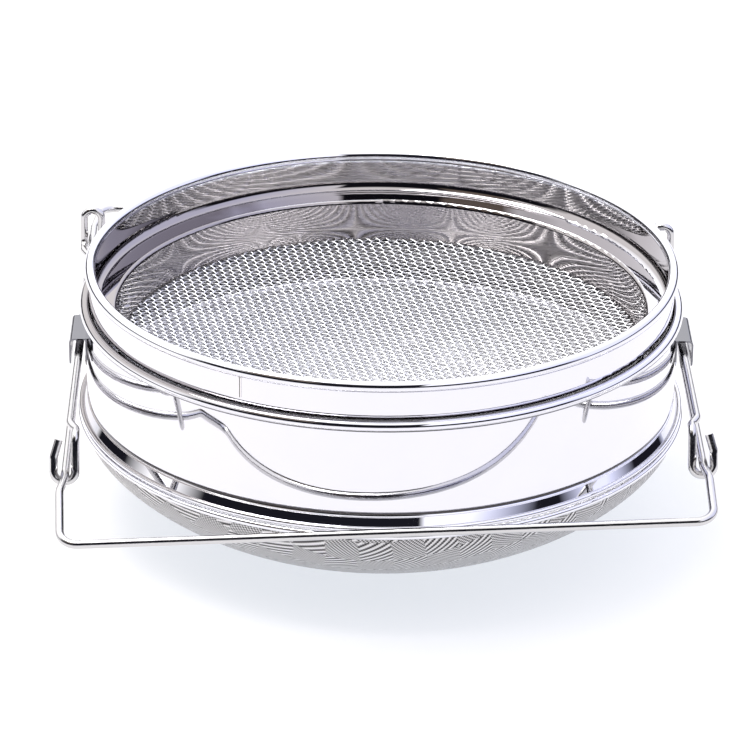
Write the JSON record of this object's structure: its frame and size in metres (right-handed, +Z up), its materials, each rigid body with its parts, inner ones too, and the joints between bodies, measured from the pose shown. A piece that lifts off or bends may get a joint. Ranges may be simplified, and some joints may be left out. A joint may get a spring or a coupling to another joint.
{
  "type": "double sieve strainer",
  "caption": "Round stainless steel two-deck honey strainer: a coarse upper sieve sits in a lower sieve with a fine dished mesh and sliding wire bails.",
  "frame": {"origin": "centre of the flat base of the lower mesh, at the surface it stands on", "axes": "+Z up along the sieves' common axis, -Y towards the front bail, +X to the right"},
  "size_m": [0.2598, 0.2746, 0.1052],
  "materials": {
    "band_steel": "mirror-polished stainless sheet",
    "wire_steel": "bright drawn stainless wire",
    "hood_steel": "polished stainless sheet",
    "coarse_mesh": "plain-woven stainless wire",
    "fine_mesh": "fine twilled stainless wire cloth",
    "weld": "raw weld bead"
  },
  "bodies": {
    "lower_sieve": {"lower_band": "band_steel", "lower_rim_wire": "wire_steel", "lower_mesh": "fine_mesh", "lower_mesh_ring": "band_steel", "lower_seam_weld": "weld", "left_hood": "hood_steel", "right_hood": "hood_steel", "left_hood_welds": "weld", "right_hood_welds": "weld"},
    "upper_sieve": {"upper_band": "band_steel", "upper_rim_wire": "wire_steel", "upper_mesh": "coarse_mesh", "upper_mesh_ring": "band_steel", "upper_seam_weld": "weld"},
    "front_bail": {"front_bail": "wire_steel"},
    "rear_bail": {"rear_bail": "wire_steel"}
  },
  "joints": [
    {"name": "upper_lift", "type": "slide", "parent": "lower_sieve", "child": "upper_sieve", "axis": [0, 0, 1], "range_m": [0, 0.06]},
    {"name": "front_bail_slide", "type": "slide", "parent": "lower_sieve", "child": "front_bail", "axis": [0, -1, 0], "range_m": [-0.004, 0.068]},
    {"name": "rear_bail_slide", "type": "slide", "parent": "lower_sieve", "child": "rear_bail", "axis": [0, 1, 0], "range_m": [-0.004, 0.062]}
  ]
}
